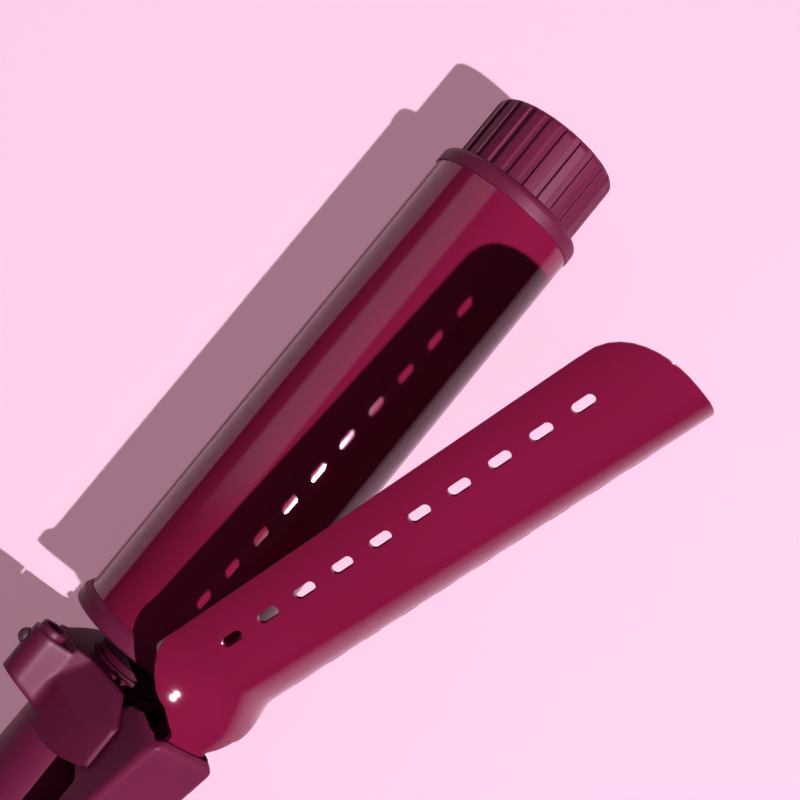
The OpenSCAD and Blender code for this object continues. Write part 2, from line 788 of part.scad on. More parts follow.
// The far leg stops short of the open lever's underside by leg_clear
leg_clear = 0.9;
lever_dist = (tongue_z(-hinge_back) + lever_gap - hinge_z) * cos(lever_rise);
lever_normal = [sin(lever_rise - open_angle), 0, cos(lever_rise - open_angle)];
end_len = (lever_dist - wire_d / 2 - leg_clear - (coil_ends[1] - [-hinge_back, coil_ends[1][1], hinge_z]) * lever_normal)
    / (end_dir * lever_normal);
spring_path = concat([coil_ends[0] + start_dir * start_len, coil_ends[0] + start_dir * start_len / 2],
                     [for (i = [0:coil_rings]) coil_point(i / coil_rings)],
                     [coil_ends[1] + end_dir * end_len / 2, coil_ends[1] + end_dir * end_len]);
spring_sides = 6;

// Least distance between turns of the wire, surface to surface
spring_gap = min([for (i = [2:len(spring_path) - 3]) for (j = [i + 5:1:len(spring_path) - 3])
    norm(spring_path[i] - spring_path[j])]) - wire_d;

function along(path, i) =
    unit(path[min(i + 1, len(path) - 1)] - path[max(i - 1, 0)]);
function ring_at(path, i, r, sides) =
    let (t = along(path, i), n = unit(cross([0, 1, 0], t)), b = cross(t, n))
    [for (k = [0:sides - 1]) path[i] + r * (cos(360 * k / sides) * n + sin(360 * k / sides) * b)];

// A tube of straight-sided rings swept along a path, closed at both ends
module swept(path, r, sides) {
    n = len(path);
    points = [for (i = [0:n - 1]) each ring_at(path, i, r, sides)];
    walls = [for (i = [0:n - 2], k = [0:sides - 1])
        let (a = i * sides + k, b = i * sides + (k + 1) % sides) each [[a, b, b + sides], [a, b + sides, a + sides]]];
    caps = [for (k = [1:sides - 2]) each [[0, k + 1, k], [(n - 1) * sides, (n - 1) * sides + k, (n - 1) * sides + k + 1]]];
    polyhedron(points, [for (f = concat(walls, caps)) [f[2], f[1], f[0]]]);
}

module clamp_spring() {
    echo(spring_gap_mm = spring_gap);
    color(steel) swept(spring_path, wire_d / 2, spring_sides);
}

/* The handle */

handle_x1 = collar_x0 - fit;
handle_x0 = handle_x1 - handle_len;
handle_r = handle_d / 2;
full_r = handle_full_d / 2;
full_x = handle_x1 - handle_len * 0.66;

// Outside of the handle: a cosine swell from the collar to its fullest place, then slightly in again
function handle_radius(x) = x > full_x
    ? handle_r + (full_r - handle_r) * (1 - cos(180 * (handle_x1 - x) / (handle_x1 - full_x))) / 2
    : full_r - (full_r - handle_r) * 0.35 * (1 - cos(90 * (full_x - x) / (full_x - handle_x0)));
function handle_curve(x0, x1, off, n) = [for (i = [0:n]) let (x = x0 + (x1 - x0) * i / n) [handle_radius(x) - off, x]];

module handle_half() {
    steps = 18;
    turned_sector(concat(
        handle_curve(handle_x0, handle_x1 - 1, 0, steps), [[handle_r - 1, handle_x1]],
        [[neck_r + 0.1, handle_x1], [neck_r + 0.1, handle_x1 - 2.2],
         [handle_r - handle_wall, handle_x1 - 2.2]],
        [for (i = [steps:-1:0]) handle_curve(handle_x0, handle_x1 - 2.3, handle_wall, steps)[i]]), 90);
}

cap_spigot = 7;
panel_x0 = handle_x0 + cap_spigot + 14.5;
panel_x1 = panel_x0 + 3.6 * control_pitch;
panel_half = 8.4;
panel_t = 2;

module panel_window(gap) {
    translate([panel_x0 - gap, -panel_half - gap, 5]) cube([panel_x1 - panel_x0 + 2 * gap, 2 * (panel_half + gap), 20]);
}

rib_x = -neck_end;

// Ribs inside a shell that trap the neck's rear flange
module neck_saddle() {
    rotate([0, 90, 0]) rotate([0, 0, 90]) rotate_extrude(angle = 180) {
        polygon([[neck_r + 0.1, rib_x + 1.7], [handle_r - handle_wall + 0.3, rib_x + 1.7],
                 [handle_r - handle_wall + 0.3, rib_x + 3.2], [neck_r + 0.1, rib_x + 3.2]]);
        polygon([[neck_bore_d / 2 + 0.4, rib_x - 1.6], [handle_r - handle_wall + 0.3, rib_x - 1.6],
                 [handle_r - handle_wall + 0.3, rib_x - 0.1], [neck_bore_d / 2 + 0.4, rib_x - 0.1]]);
    }
}

module handle_upper_shell() {
    color(satin) difference() {
        union() {
            handle_half();
            neck_saddle();
            intersection() {
                at_handle_screws() cylinder(h = full_r, r = 2.6);
                handle_solid(0.4);
            }
        }
        panel_window(seat);
        at_handle_screws() translate([0, 0, -1]) cylinder(h = 7, r = case_screw_r + fit);
    }
}

case_screw_r = 1.3;
case_screw_x = [rib_x - 12, handle_x0 + cap_spigot + 6];
case_screw_y = 7.2;

module at_handle_screws() {
    for (x = case_screw_x, s = [-1, 1]) translate([x, s * case_screw_y, 0]) children();
}

screw_seat = -7;

module handle_lower_shell() {
    color(satin) difference() {
        union() {
            mirror([0, 0, 1]) handle_half();
            mirror([0, 0, 1]) neck_saddle();
            intersection() {
                at_handle_screws() translate([0, 0, -full_r]) cylinder(h = full_r, r = 3.6);
                handle_solid(0.4);
            }
            intersection() {
                at_board_posts() translate([0, 0, -full_r]) cylinder(h = full_r + board_z - fit, r = 2.4);
                handle_solid(0.4);
            }
        }
        at_handle_screws() translate([0, 0, screw_seat - 20]) cylinder(h = 20, r = 2.7);
        at_handle_screws() translate([0, 0, screw_seat - 1]) cylinder(h = 20, r = case_screw_r + 0.15);
        at_board_posts() translate([0, 0, board_z - 6]) cylinder(h = 20, r = board_screw_r + fit);
    }
}

// The handle filled in, drawn in by off
module handle_solid(off) {
    turned(concat([[0, handle_x0]], handle_curve(handle_x0, handle_x1, off, 18), [[0, handle_x1]]));
}

module handle_screws() {
    color(steel) at_handle_screws() difference() {
        union() {
            translate([0, 0, screw_seat - 1.9]) cylinder(h = 1.85, r = 2.4);
            translate([0, 0, screw_seat - 1]) cylinder(h = 1 - screw_seat + 5.6, r = case_screw_r);
        }
        translate([0, 0, screw_seat - 3]) cylinder(h = 2, r = 1.2, $fn = 6);
    }
}

/* The controls */

power_x = panel_x1 - 1.1 * control_pitch;
minus_x = power_x - 0.95 * control_pitch;
plus_x = power_x - 1.85 * control_pitch;
lens_x = panel_x1 - 3.2;
lens_r = 0.9;
lens_y = 3;
button_gap = 0.2;

module control_panel() {
    color("#3a1524") difference() {
        intersection() {
            turned_sector(concat(handle_curve(panel_x0 - 2, panel_x1 + 2, 0.25, 8),
                [for (i = [8:-1:0]) handle_curve(panel_x0 - 2, panel_x1 + 2, 0.25 + panel_t, 8)[i]]), 60);
            panel_window(0);
        }
        translate([power_x, 0, 0]) cylinder(h = 30, r = power_d / 2 + button_gap);
        for (x = [minus_x, plus_x]) translate([x, 0, 0]) cylinder(h = 30, r = small_d / 2 + button_gap);
        for (i = [-1:1]) translate([lens_x, i * lens_y, 0]) cylinder(h = 30, r = lens_r + fit);
        // a ledge under each button for its collar
        for (b = [[power_x, power_d], [minus_x, small_d], [plus_x, small_d]])
            translate([b[0], 0, 0]) cylinder(h = handle_radius(b[0]) - 0.25 - 1, r = b[1] / 2 + 0.7 + button_gap);
    }
}

module indicator_lenses() {
    color("#f2e9df") for (i = [-1:1]) translate([lens_x, i * lens_y, board_z + 1.6 + fit])
        cylinder(h = handle_radius(lens_x) - 0.3 - board_z - 1.6 - (i == 0 ? 0 : 0.3), r = lens_r);
}

board_z = lead_z + lead_r + fit;
board_t = 1.6;
board_w = 17;
board_x1 = panel_x1 + 8;
board_x0 = panel_x0 - 4;
board_screw_r = 1;
switch_h = 2.6;

module at_board_posts() {
    for (x = [board_x1 - 3.5, board_x0 + 3.5]) translate([x, 0, 0]) children();
}

module circuit_board() {
    color("#2f5d3a") difference() {
        translate([board_x0, -board_w / 2, board_z]) cube([board_x1 - board_x0, board_w, board_t]);
        at_board_posts() cylinder(h = 20, r = board_screw_r + 0.15);
    }
}

module board_screws() {
    color(steel) at_board_posts() translate([0, 0, board_z]) {
        translate([0, 0, -5]) cylinder(h = 5 + board_t + 0.5, r = board_screw_r);
        translate([0, 0, board_t + 0.02]) cylinder(h = 1.2, r = 1.9);
    }
}

stem_gap = 0.15;

// Underside of a button's collar at rest
function collar_z(x) = handle_radius(x) - 0.25 - 1 - 0.9;

module button_switches() {
    color("#202226") for (b = [power_x, minus_x, plus_x]) translate([b, 0, board_z + board_t + 0.02]) {
        translate([-3, -3, 0]) cube([6, 6, switch_h]);
        cylinder(h = collar_z(b) - button_travel - stem_gap - board_z - board_t, r = 1.6);
    }
}

// A domed cap with a retaining collar under the panel
module button(x, d) {
    top = handle_radius(x) - 0.25 + button_lip;
    translate([x, 0, 0]) {
        translate([0, 0, collar_z(x)]) cylinder(h = 0.85, r = d / 2 + 0.7);
        rotate_extrude() polygon(concat([[0, collar_z(x)], [d / 2, collar_z(x)]],
            arc([d / 2 - 0.6, top - 0.6 - 0.3], 0.6, 0, 70, 4), [[0, top]]));
    }
}

module power_button() {
    color("#9b4a68") button(power_x, power_d);
}

module plus_button() {
    color("#9b4a68") button(plus_x, small_d);
}

module minus_button() {
    color("#9b4a68") button(minus_x, small_d);
}

/* The cord's inlet */

spigot_r = handle_radius(handle_x0) - handle_wall - 0.1;
swivel_r = swivel_d / 2;
cap_x0 = handle_x0 - cap_len;
collar_t = 1.8;
cap_wall = 3;
swivel_x = cap_x0 + cap_wall;

module end_cap() {
    r = handle_radius(handle_x0);
    color(satin) turned(concat(
            [[swivel_r + 0.1, cap_x0], [r - 2, cap_x0]], [for (i = [6:-1:0]) arc([r - 2, cap_x0 + 2], 2, 0, -90, 6)[i]],
            [[r, handle_x0 - cut], [spigot_r, handle_x0 - cut], [spigot_r, handle_x0 + cap_spigot],
             [spigot_r - 2, handle_x0 + cap_spigot], [spigot_r - 2, swivel_x - seat], [swivel_r + 0.1, swivel_x - seat]]));
}

module swivel_retainer() {
    x = swivel_x + collar_t + seat;
    color("#8d8f92") difference() {
        rod_x(x, x + 1.2, spigot_r - 2 - fit);
        rod_x(x - 1, x + 3, inlet_bore_d / 2 + 1);
    }
}

module cord_inlet() {
    r = inlet_bore_d / 2;
    color(rubber) turned(concat(
        [[r, cap_x0 - nose_len]],
        arc([r + 1.6, cap_x0 - nose_len + 1], 1, -90, 0, 4),
        [[swivel_r - 1.6, cap_x0 - 1.8], [swivel_r, cap_x0 - 0.6], [swivel_r, swivel_x],
         [swivel_r + 1.2, swivel_x], [swivel_r + 1.2, swivel_x + collar_t], [r, swivel_x + collar_t]]));
}

module terminal_block() {
    size = [9, 14, 8];
    color("#d9d4c9") translate([board_x0 + 7, -size[1] / 2, board_z - fit - size[2]]) cube(size);
}

/* The resting pose */

// The two rings set the pitch, the foot pad sets the roll
rest_tip_x = tip_x0 - tip_ring_round;
rest_base_x = base_ring_w - base_ring_bevel;
rest_slope = (base_ring_r - tip_ring_r) / (rest_tip_x - rest_base_x);
pitch = atan(rest_slope);
foot = ear + foot_reach * foot_dir;
foot_clear = base_ring_r + (rest_base_x - foot_x) * rest_slope - foot_d / 2;
roll = asin(foot_clear / norm(foot)) - atan2(-foot[1], foot[0]);
lift = base_ring_r * cos(pitch) + rest_base_x * sin(pitch);

// A tool point turned by the roll, then the pitch
function turn_row(p) =
    let (y = p[1] * cos(roll) - p[2] * sin(roll), z = p[1] * sin(roll) + p[2] * cos(roll))
    [p[0] * cos(pitch) + z * sin(pitch), y, z * cos(pitch) - p[0] * sin(pitch)];
function swing(p) = let (x = p[0] + hinge_back, z = p[2] - hinge_z)
    [x * cos(open_angle) - z * sin(open_angle) - hinge_back, p[1], x * sin(open_angle) + z * cos(open_angle) + hinge_z];
rim_points = [for (i = [0:corner_steps]) let (c = free_corner(i), y = min(rim_y, c[1]))
    swing([c[0], -y, sqrt(clamp_r * clamp_r - y * y)])];
low_y = min([for (p = rim_points) turn_row(p)[1]]);
high_y = turn_row([0, foot[0], foot[1]])[1] + foot_d / 2;
high_x = (tip_x1 - tip_round) * cos(pitch) + (tip_r - tip_round) * sin(pitch) + tip_round;
low_x = (cap_x0 - nose_len) * cos(pitch) - (inlet_bore_d / 2 + 1.6) * sin(pitch);
origin_shift = [-(low_x + high_x) / 2, -(low_y + high_y) / 2, lift];

module lay() {
    translate(origin_shift) rotate([0, pitch, 0]) rotate([roll, 0, 0]) children();
}

lay() barrel_tube();
lay() base_ring();
lay() tip_ring();
lay() cool_tip();
lay() tip_screw();
lay() heater_core_upper();
lay() heater_core_lower();
lay() heating_element();
lay() heater_film();
lay() thermal_fuse();
lay() temperature_sensor();
lay() heater_leads();
lay() barrel_hub();
lay() hinge_collar();
lay() ear_screws();
lay() foot_pads();
lay() hinge_pin();
lay() clamp_spring();
lay() clamp_plate();
lay() thumb_lever();
lay() lever_screws();
lay() handle_upper_shell();
lay() handle_lower_shell();
lay() handle_screws();
lay() control_panel();
lay() indicator_lenses();
lay() circuit_board();
lay() board_screws();
lay() button_switches();
lay() power_button();
lay() plus_button();
lay() minus_button();
lay() terminal_block();
lay() end_cap();
lay() swivel_retainer();
lay() cord_inlet();
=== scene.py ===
"""Dresses the curling tongs: enamel, satin plastic, metal, the controls' marks and the stage."""

import json
import math

import bmesh
import bpy
import numpy as np
from bpy.props import FloatProperty, FloatVectorProperty, IntProperty, PointerProperty
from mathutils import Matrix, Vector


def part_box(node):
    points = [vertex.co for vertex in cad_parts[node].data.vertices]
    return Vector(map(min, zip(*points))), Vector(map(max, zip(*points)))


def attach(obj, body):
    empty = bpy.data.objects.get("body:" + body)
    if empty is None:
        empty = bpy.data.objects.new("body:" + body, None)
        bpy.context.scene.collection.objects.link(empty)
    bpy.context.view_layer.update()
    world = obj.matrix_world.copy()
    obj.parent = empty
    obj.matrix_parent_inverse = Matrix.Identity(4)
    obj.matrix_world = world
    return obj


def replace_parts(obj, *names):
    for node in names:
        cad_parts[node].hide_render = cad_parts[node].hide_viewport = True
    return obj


bl_info = {
    "name": "Curling tongs dresser",
    "version": (1, 0, 0),
    "blender": (4, 5, 0),
    "location": "View3D > Sidebar > Tongs",
    "description": "Gives curling tongs their finishes, small details and a studio stage",
    "category": "Object",
}

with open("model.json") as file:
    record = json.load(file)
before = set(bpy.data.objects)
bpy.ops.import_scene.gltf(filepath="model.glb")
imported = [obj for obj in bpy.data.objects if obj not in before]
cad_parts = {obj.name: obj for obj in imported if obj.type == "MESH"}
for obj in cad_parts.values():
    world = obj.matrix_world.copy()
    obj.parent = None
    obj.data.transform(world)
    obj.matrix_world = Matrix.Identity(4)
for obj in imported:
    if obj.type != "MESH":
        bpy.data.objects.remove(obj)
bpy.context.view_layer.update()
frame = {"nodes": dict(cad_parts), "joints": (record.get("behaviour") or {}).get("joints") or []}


# The clamp's hinge in the tool's own axes, and how far the clamp stands open at rest
HINGE = np.array([-0.0178, 0.0, 0.014])
OPEN_ANGLE = math.radians(24.1)

# The clamp's sheet: its thickness, where along the barrel its flare starts and turns back, the flare's
# steepest lean, and the lean behind it where the lever sits
SHEET_THICK = 0.0012
FLARE_START = 0.016
FLARE_TURN = 0.0072
FLARE_STEEP = math.radians(31)
SEAT_LEAN = math.radians(10.8)

# The far row of slots: its angle from the sheet's middle, how far it turns, how far to each side the turn is
# full and where it is gone, and the run along the barrel over which it sets in
ROW_ANGLE = math.radians(33.3)
ROW_TURN = math.radians(3.4)
ROW_HALF = math.radians(4.5)
ROW_FADE = math.radians(15)
ROW_RUN_IN = 0.004

# Corners closer than this are one
WELD = 1e-6

# A face lies on the sheet where the product of its normal and the sheet's is over this
SAME_WAY = 0.93

# Rounded edges wider than this take more samples
WIDE_EDGE = 0.001


def tool_frame():
    """The tool's own axes (along the barrel, across it, out of it on the clamp's side) and its origin,
    which is the middle of the base ring's rear face, from the clamp hinge and the buttons' travel."""
    joints = {j["name"]: j for j in frame["joints"]}
    across = -np.array(joints["clamp_hinge"]["axis"], float)
    out = -np.array(joints["power_press"]["axis"], float)
    axes = np.stack([np.cross(across, out), across, out])
    return axes, np.array(joints["clamp_hinge"]["pos_m"], float) - HINGE @ axes


AXES, ORIGIN = tool_frame()


# Mesh helpers

def grid_mesh(name, points, closed=False):
    """A surface through a grid of points[u, v]: each cell of four neighbours is one face.
    A closed one joins its last v line to its first and has a cap on its first and its last u line."""
    nu, nv = points.shape[:2]
    index = np.arange(nu * nv).reshape(nu, nv)
    if closed:
        index = np.hstack([index, index[:, :1]])
    quads = np.stack([index[:-1, :-1], index[1:, :-1], index[1:, 1:], index[:-1, 1:]], -1).reshape(-1, 4)
    faces = quads.tolist()
    if closed:
        faces += [index[0, :nv].tolist(), index[-1, :nv][::-1].tolist()]
    mesh = bpy.data.meshes.new(name)
    mesh.from_pydata(points.reshape(-1, 3).tolist(), [], faces)
    mesh.update()
    return mesh


def add_piece(name, mesh, body, material, smooth=True):
    """Puts a mesh in the scene as a piece that moves with a body."""
    piece = bpy.data.objects.new(name, mesh)
    bpy.context.scene.collection.objects.link(piece)
    mesh.materials.append(material)
    if smooth:
        mesh.shade_smooth()
    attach(piece, body)
    return piece


def softened_copy(node, name, cell, rounds):
    """A copy of a CAD solid as one skin of small cells, with its edges rubbed round."""
    source = frame["nodes"][node]
    mesh = source.data.copy()
    mesh.materials.clear()
    copy = bpy.data.objects.new(name, mesh)
    bpy.context.scene.collection.objects.link(copy)
    weld = copy.modifiers.new("weld", "WELD")
    weld.merge_threshold = WELD
    skin = copy.modifiers.new("skin", "REMESH")
    skin.mode = "VOXEL"
    skin.voxel_size = cell
    skin.use_smooth_shade = True
    rub = copy.modifiers.new("rub", "SMOOTH")
    rub.factor = 0.5
    rub.iterations = rounds
    graph = bpy.context.evaluated_depsgraph_get()
    baked = bpy.data.meshes.new_from_object(copy.evaluated_get(graph))
    baked.name = name
    bpy.data.objects.remove(copy)
    return baked


def welded_copy(node, name):
    """A copy of a CAD solid with its doubled corners joined."""
    mesh = frame["nodes"][node].data.copy()
    mesh.name = name
    mesh.materials.clear()
    work = bmesh.new()
    work.from_mesh(mesh)
    bmesh.ops.remove_doubles(work, verts=work.verts, dist=WELD)
    work.to_mesh(mesh)
    work.free()
    return mesh


def lean_of_sheet(x):
    """How far the clamp's sheet leans outwards at x along the barrel: none over the barrel, then an arc up to
    its steepest, an arc back, and the lever's own rise behind the barrel."""
    first = (FLARE_START - FLARE_TURN) / math.sin(FLARE_STEEP)
    second = FLARE_TURN / (math.sin(FLARE_STEEP) - math.sin(SEAT_LEAN))
    fore = np.clip((FLARE_START - x) / first, 0, 1)
    rear = np.sin(SEAT_LEAN) + np.clip(x, 0, FLARE_TURN) / second
    return np.arcsin(np.where(x > FLARE_TURN, fore, rear))


def corners(mesh):
    """All corners of a mesh in the tool's frame."""
    co = np.empty(len(mesh.vertices) * 3)
    mesh.vertices.foreach_get("co", co)
    return (co.reshape(-1, 3) - ORIGIN) @ AXES.T


def swing(points, angle):
    """Points turned about the clamp's hinge, outwards where the angle is positive."""
    x, z = points[:, 0] - HINGE[0], points[:, 2] - HINGE[2]
    cos, sin = math.cos(angle), math.sin(angle)
    return np.stack([x * cos - z * sin + HINGE[0], points[:, 1], z * cos + x * sin + HINGE[2]], -1)


def turn_far_row(mesh):
    """Moves the far row of slots further round the barrel's axis: all corners near the row turn by the same
    angle, and the turn dies away on both sides of it and towards the hinge."""
    shut = swing(corners(mesh), -OPEN_ANGLE)
    turn = np.arctan2(shut[:, 1], shut[:, 2])
    aside = np.abs(turn + ROW_ANGLE)
    share = np.clip((ROW_FADE - aside) / (ROW_FADE - ROW_HALF), 0, 1)
    share *= np.clip((shut[:, 0] - FLARE_START) / ROW_RUN_IN, 0, 1)
    more = -ROW_TURN * share
    cos, sin = np.cos(more), np.sin(more)
    y, z = shut[:, 1], shut[:, 2]
    moved = np.stack([shut[:, 0], y * cos + z * sin, z * cos - y * sin], -1)
    placed = swing(moved, OPEN_ANGLE) @ AXES + ORIGIN
    mesh.vertices.foreach_set("co", placed.ravel())
    mesh.update()


def sheet_normals(mesh):
    """Gives the clamp's sheet its smooth normals: at each corner of a face that lies on the sheet, the normal
    points out from the barrel's axis and leans back by the sheet's lean. The inner side has the opposite."""
    corner = np.empty(len(mesh.loops), np.int32)
    mesh.loops.foreach_get("vertex_index", corner)
    shut = swing(corners(mesh), -OPEN_ANGLE)
    flat = np.empty(len(mesh.polygons) * 3)
    mesh.polygons.foreach_get("normal", flat)
    sides = np.empty(len(mesh.polygons), np.int32)
    mesh.polygons.foreach_get("loop_total", sides)
    own = np.repeat(flat.reshape(-1, 3), sides, axis=0)
    best = own.copy()
    for side, inset in ((1, 0.0), (-1, SHEET_THICK)):
        lean = lean_of_sheet(shut[:, 0] + inset * np.sin(lean_of_sheet(shut[:, 0])))
        away = shut[:, 1:] / np.linalg.norm(shut[:, 1:], axis=1)[:, None]
        true = np.stack([np.sin(lean), away[:, 0] * np.cos(lean), away[:, 1] * np.cos(lean)], -1) * side
        placed = ((swing(true + HINGE, OPEN_ANGLE) - HINGE) @ AXES)[corner]
        near = (placed * own).sum(1) > SAME_WAY
        best[near] = placed[near]
    mesh.shade_smooth()
    mesh.normals_split_custom_set(best.tolist())


# Finishes

class Finish:
    """A node material with short ways to add its parts."""

    def __init__(self, name, base, roughness, metallic=0.0, **sockets):
        self.material = bpy.data.materials.new(name)
        self.material.use_nodes = True
        self.nodes = self.material.node_tree.nodes
        self.links = self.material.node_tree.links
        self.shader = self.nodes["Principled BSDF"]
        self.shader.inputs["Base Color"].default_value = (*base, 1)
        self.shader.inputs["Roughness"].default_value = roughness
        self.shader.inputs["Metallic"].default_value = metallic
        for key, value in sockets.items():
            self.shader.inputs[key.replace("_", " ")].default_value = value
        self.place = self.nodes.new("ShaderNodeTexCoord").outputs["Object"]
        self.base = base

    def node(self, kind, **values):
        """A node with its sockets, or else its settings, set by name."""
        made = self.nodes.new(kind)
        for key, value in values.items():
            if key in made.inputs:
                made.inputs[key].default_value = value
            else:
                setattr(made, key, value)
        return made

    def join(self, operation, *values):
        """Puts two values, linked or plain, through one sum."""
        made = self.node("ShaderNodeMath", operation=operation)
        for socket, value in zip(made.inputs, values):
            if isinstance(value, float):
                socket.default_value = value
            else:
                self.links.new(value, socket)
        return made.outputs[0]

    def stretched(self, scale):
        """Object coordinates scaled by a different share along each axis."""
        mapping = self.node("ShaderNodeMapping")
        mapping.inputs["Scale"].default_value = scale
        self.links.new(self.place, mapping.inputs["Vector"])
        return mapping.outputs["Vector"]

    def noise(self, scale, detail=2.0, where=None):
        """Soft noise, from 0 to 1, with its scale in cells to a metre."""
        made = self.node("ShaderNodeTexNoise", Scale=scale, Detail=detail)
        self.links.new(where or self.place, made.inputs["Vector"])
        return made.outputs["Fac"]

    def spread(self, value, low, high, start=0.35, end=0.65):
        """Maps a value from the range between start and end to the one between low and high."""
        made = self.node("ShaderNodeMapRange")
        made.inputs["From Min"].default_value = start
        made.inputs["From Max"].default_value = end
        made.inputs["To Min"].default_value = low
        made.inputs["To Max"].default_value = high
        self.links.new(value, made.inputs["Value"])
        return made.outputs["Result"]

    def shade_by(self, value, darker, lighter):
        """Lets the base colour drift between a darker and a lighter share of itself."""
        ramp = self.node("ShaderNodeValToRGB")
        ramp.color_ramp.elements[0].position = 0.3
        ramp.color_ramp.elements[1].position = 0.7
        ramp.color_ramp.elements[0].color = (*[c * darker for c in self.base], 1)
        ramp.color_ramp.elements[1].color = (*[min(1, c * lighter) for c in self.base], 1)
        self.links.new(value, ramp.inputs["Fac"])
        self.links.new(ramp.outputs["Color"], self.shader.inputs["Base Color"])

    def rough_by(self, value):
        """Takes the roughness from a value."""
        self.links.new(value, self.shader.inputs["Roughness"])

    def bump_by(self, height, depth, strength=1.0, edge=0.0):
        """Raises the surface by a height map; edge is the radius that sharp edges look rounded to."""
        made = self.node("ShaderNodeBump")
        made.inputs["Strength"].default_value = strength
        made.inputs["Distance"].default_value = depth
        self.links.new(height, made.inputs["Height"])
        if edge:
            round_edge = self.node("ShaderNodeBevel", samples=12 if edge > WIDE_EDGE else 6)
            round_edge.inputs["Radius"].default_value = edge
            self.links.new(round_edge.outputs["Normal"], made.inputs["Normal"])
        self.links.new(made.outputs["Normal"], self.shader.inputs["Normal"])


def satin_finish(name, base, roughness, grain, edge, shine=0.16):
    """Spark-eroded satin plastic: a fine even grain, with small grains that catch the light."""
    f = Finish(name, base, roughness, Specular_IOR_Level=shine)
    cell = f.node("ShaderNodeTexVoronoi", Scale=grain * 1.7)
    f.links.new(f.place, cell.inputs["Vector"])
    f.shade_by(f.noise(70), darker=0.94, lighter=1.06)
    f.rough_by(f.spread(cell.outputs["Distance"], roughness - 0.12, roughness + 0.1, start=0.1, end=0.7))
    f.bump_by(f.noise(grain, detail=3.0), depth=0.00004, strength=0.5, edge=edge)
    return f


def satin_plastic(*settings):
    """The material of satin plastic in one colour."""
    return satin_finish(*settings).material


def gloss_enamel(name, base):
    """High-gloss enamel: a hard clear surface with a faint orange-peel wave."""
    f = Finish(name, base, roughness=0.05, Specular_IOR_Level=0.5)
    f.shade_by(f.noise(25, detail=1.0), darker=0.97, lighter=1.03)
    f.rough_by(f.spread(f.noise(120), low=0.045, high=0.08))
    f.bump_by(f.noise(190, detail=1.0), depth=0.00002, strength=0.5, edge=0.0003)
    return f.material


def turned_metal(name, base, roughness, lines=(900, 900, 900)):
    """Metal with fine tool lines; the lines follow the axis with the lowest scale."""
    f = Finish(name, base, roughness, metallic=1.0)
    grain = f.noise(1.0, detail=3.0, where=f.stretched(lines))
    f.shade_by(grain, darker=0.85, lighter=1.08)
    f.rough_by(f.spread(grain, roughness - 0.06, roughness + 0.1))
    f.bump_by(grain, depth=0.00001, strength=0.4, edge=0.0002)
    return f.material


def moulded(name, base, roughness, scale=900, depth=0.00002, drift=0.08, **sockets):
    """Moulded plastic, film, ceramic or rubber: a soft uneven skin."""
    f = Finish(name, base, roughness, **sockets)
    f.shade_by(f.noise(scale * 0.3, detail=3.0), 1 - drift, 1 + drift)
    f.rough_by(f.spread(f.noise(scale), roughness - 0.06, roughness + 0.06))
    f.bump_by(f.noise(scale * 1.5, detail=3.0), depth, strength=0.6, edge=0.0002)
    return f.material


def woven_sleeve(name, base):
    """Woven glass sleeve: two crossing sets of fine threads."""
    f = Finish(name, base, roughness=0.7)
    wave = f.node("ShaderNodeTexWave", Scale=900.0, Distortion=1.5)
    f.links.new(f.place, wave.inputs["Vector"])
    f.shade_by(wave.outputs["Fac"], darker=0.85, lighter=1.05)
    f.bump_by(wave.outputs["Fac"], depth=0.00008, strength=0.8)
    return f.material


def circuit_laminate(name, base):
    """Solder mask over copper tracks: a lighter pattern of blocks under a satin green skin."""
    f = Finish(name, base, roughness=0.35)
    brick = f.node("ShaderNodeTexBrick", Scale=160.0)
    brick.inputs["Mortar Size"].default_value = 0.012
    brick.inputs["Color1"].default_value = (*base, 1)
    brick.inputs["Color2"].default_value = (*[c * 1.25 for c in base], 1)
    brick.inputs["Mortar"].default_value = (*[c * 0.7 for c in base], 1)
    f.links.new(f.place, brick.inputs["Vector"])
    f.links.new(brick.outputs["Color"], f.shader.inputs["Base Color"])
    f.bump_by(brick.outputs["Fac"], depth=0.00003, strength=0.5)
    return f.material


# The middle and half the length of the hub's front flange, along the barrel from the base ring's rear face
FLANGE_MIDDLE = -0.0063
FLANGE_HALF = 0.00195


def banded_plastic(name, base, band, finish):
    """Satin plastic in two colours along the barrel, both painted shade: the neck in its base colour, a
    near-black standing in for the shadow it lies in, and the hub's front flange in the band's colour, a
    darkened share of the satin.
    """
    f = satin_finish(name, base, 0.5, finish.grain, finish.edge, shine=0.04)
    along = f.node("ShaderNodeVectorMath", operation="DOT_PRODUCT")
    f.links.new(f.place, along.inputs[0])
    along.inputs[1].default_value = AXES[0]
    middle = float(ORIGIN @ AXES[0]) + FLANGE_MIDDLE
    flange = f.join("COMPARE", along.outputs["Value"], middle, FLANGE_HALF)
    mix = f.node("ShaderNodeMix", data_type="RGBA")
    f.links.new(flange, mix.inputs["Factor"])
    mix.inputs["A"].default_value = (*base, 1)
    mix.inputs["B"].default_value = (*band, 1)
    f.links.new(mix.outputs["Result"], f.shader.inputs["Base Color"])
    return f.material


def clothe(material, *nodes):
    """Gives CAD nodes a material in place of their plain one."""
    for node in nodes:
        mesh = frame["nodes"][node].data
        mesh.materials.clear()
        mesh.materials.append(material)


# Sizes and colours

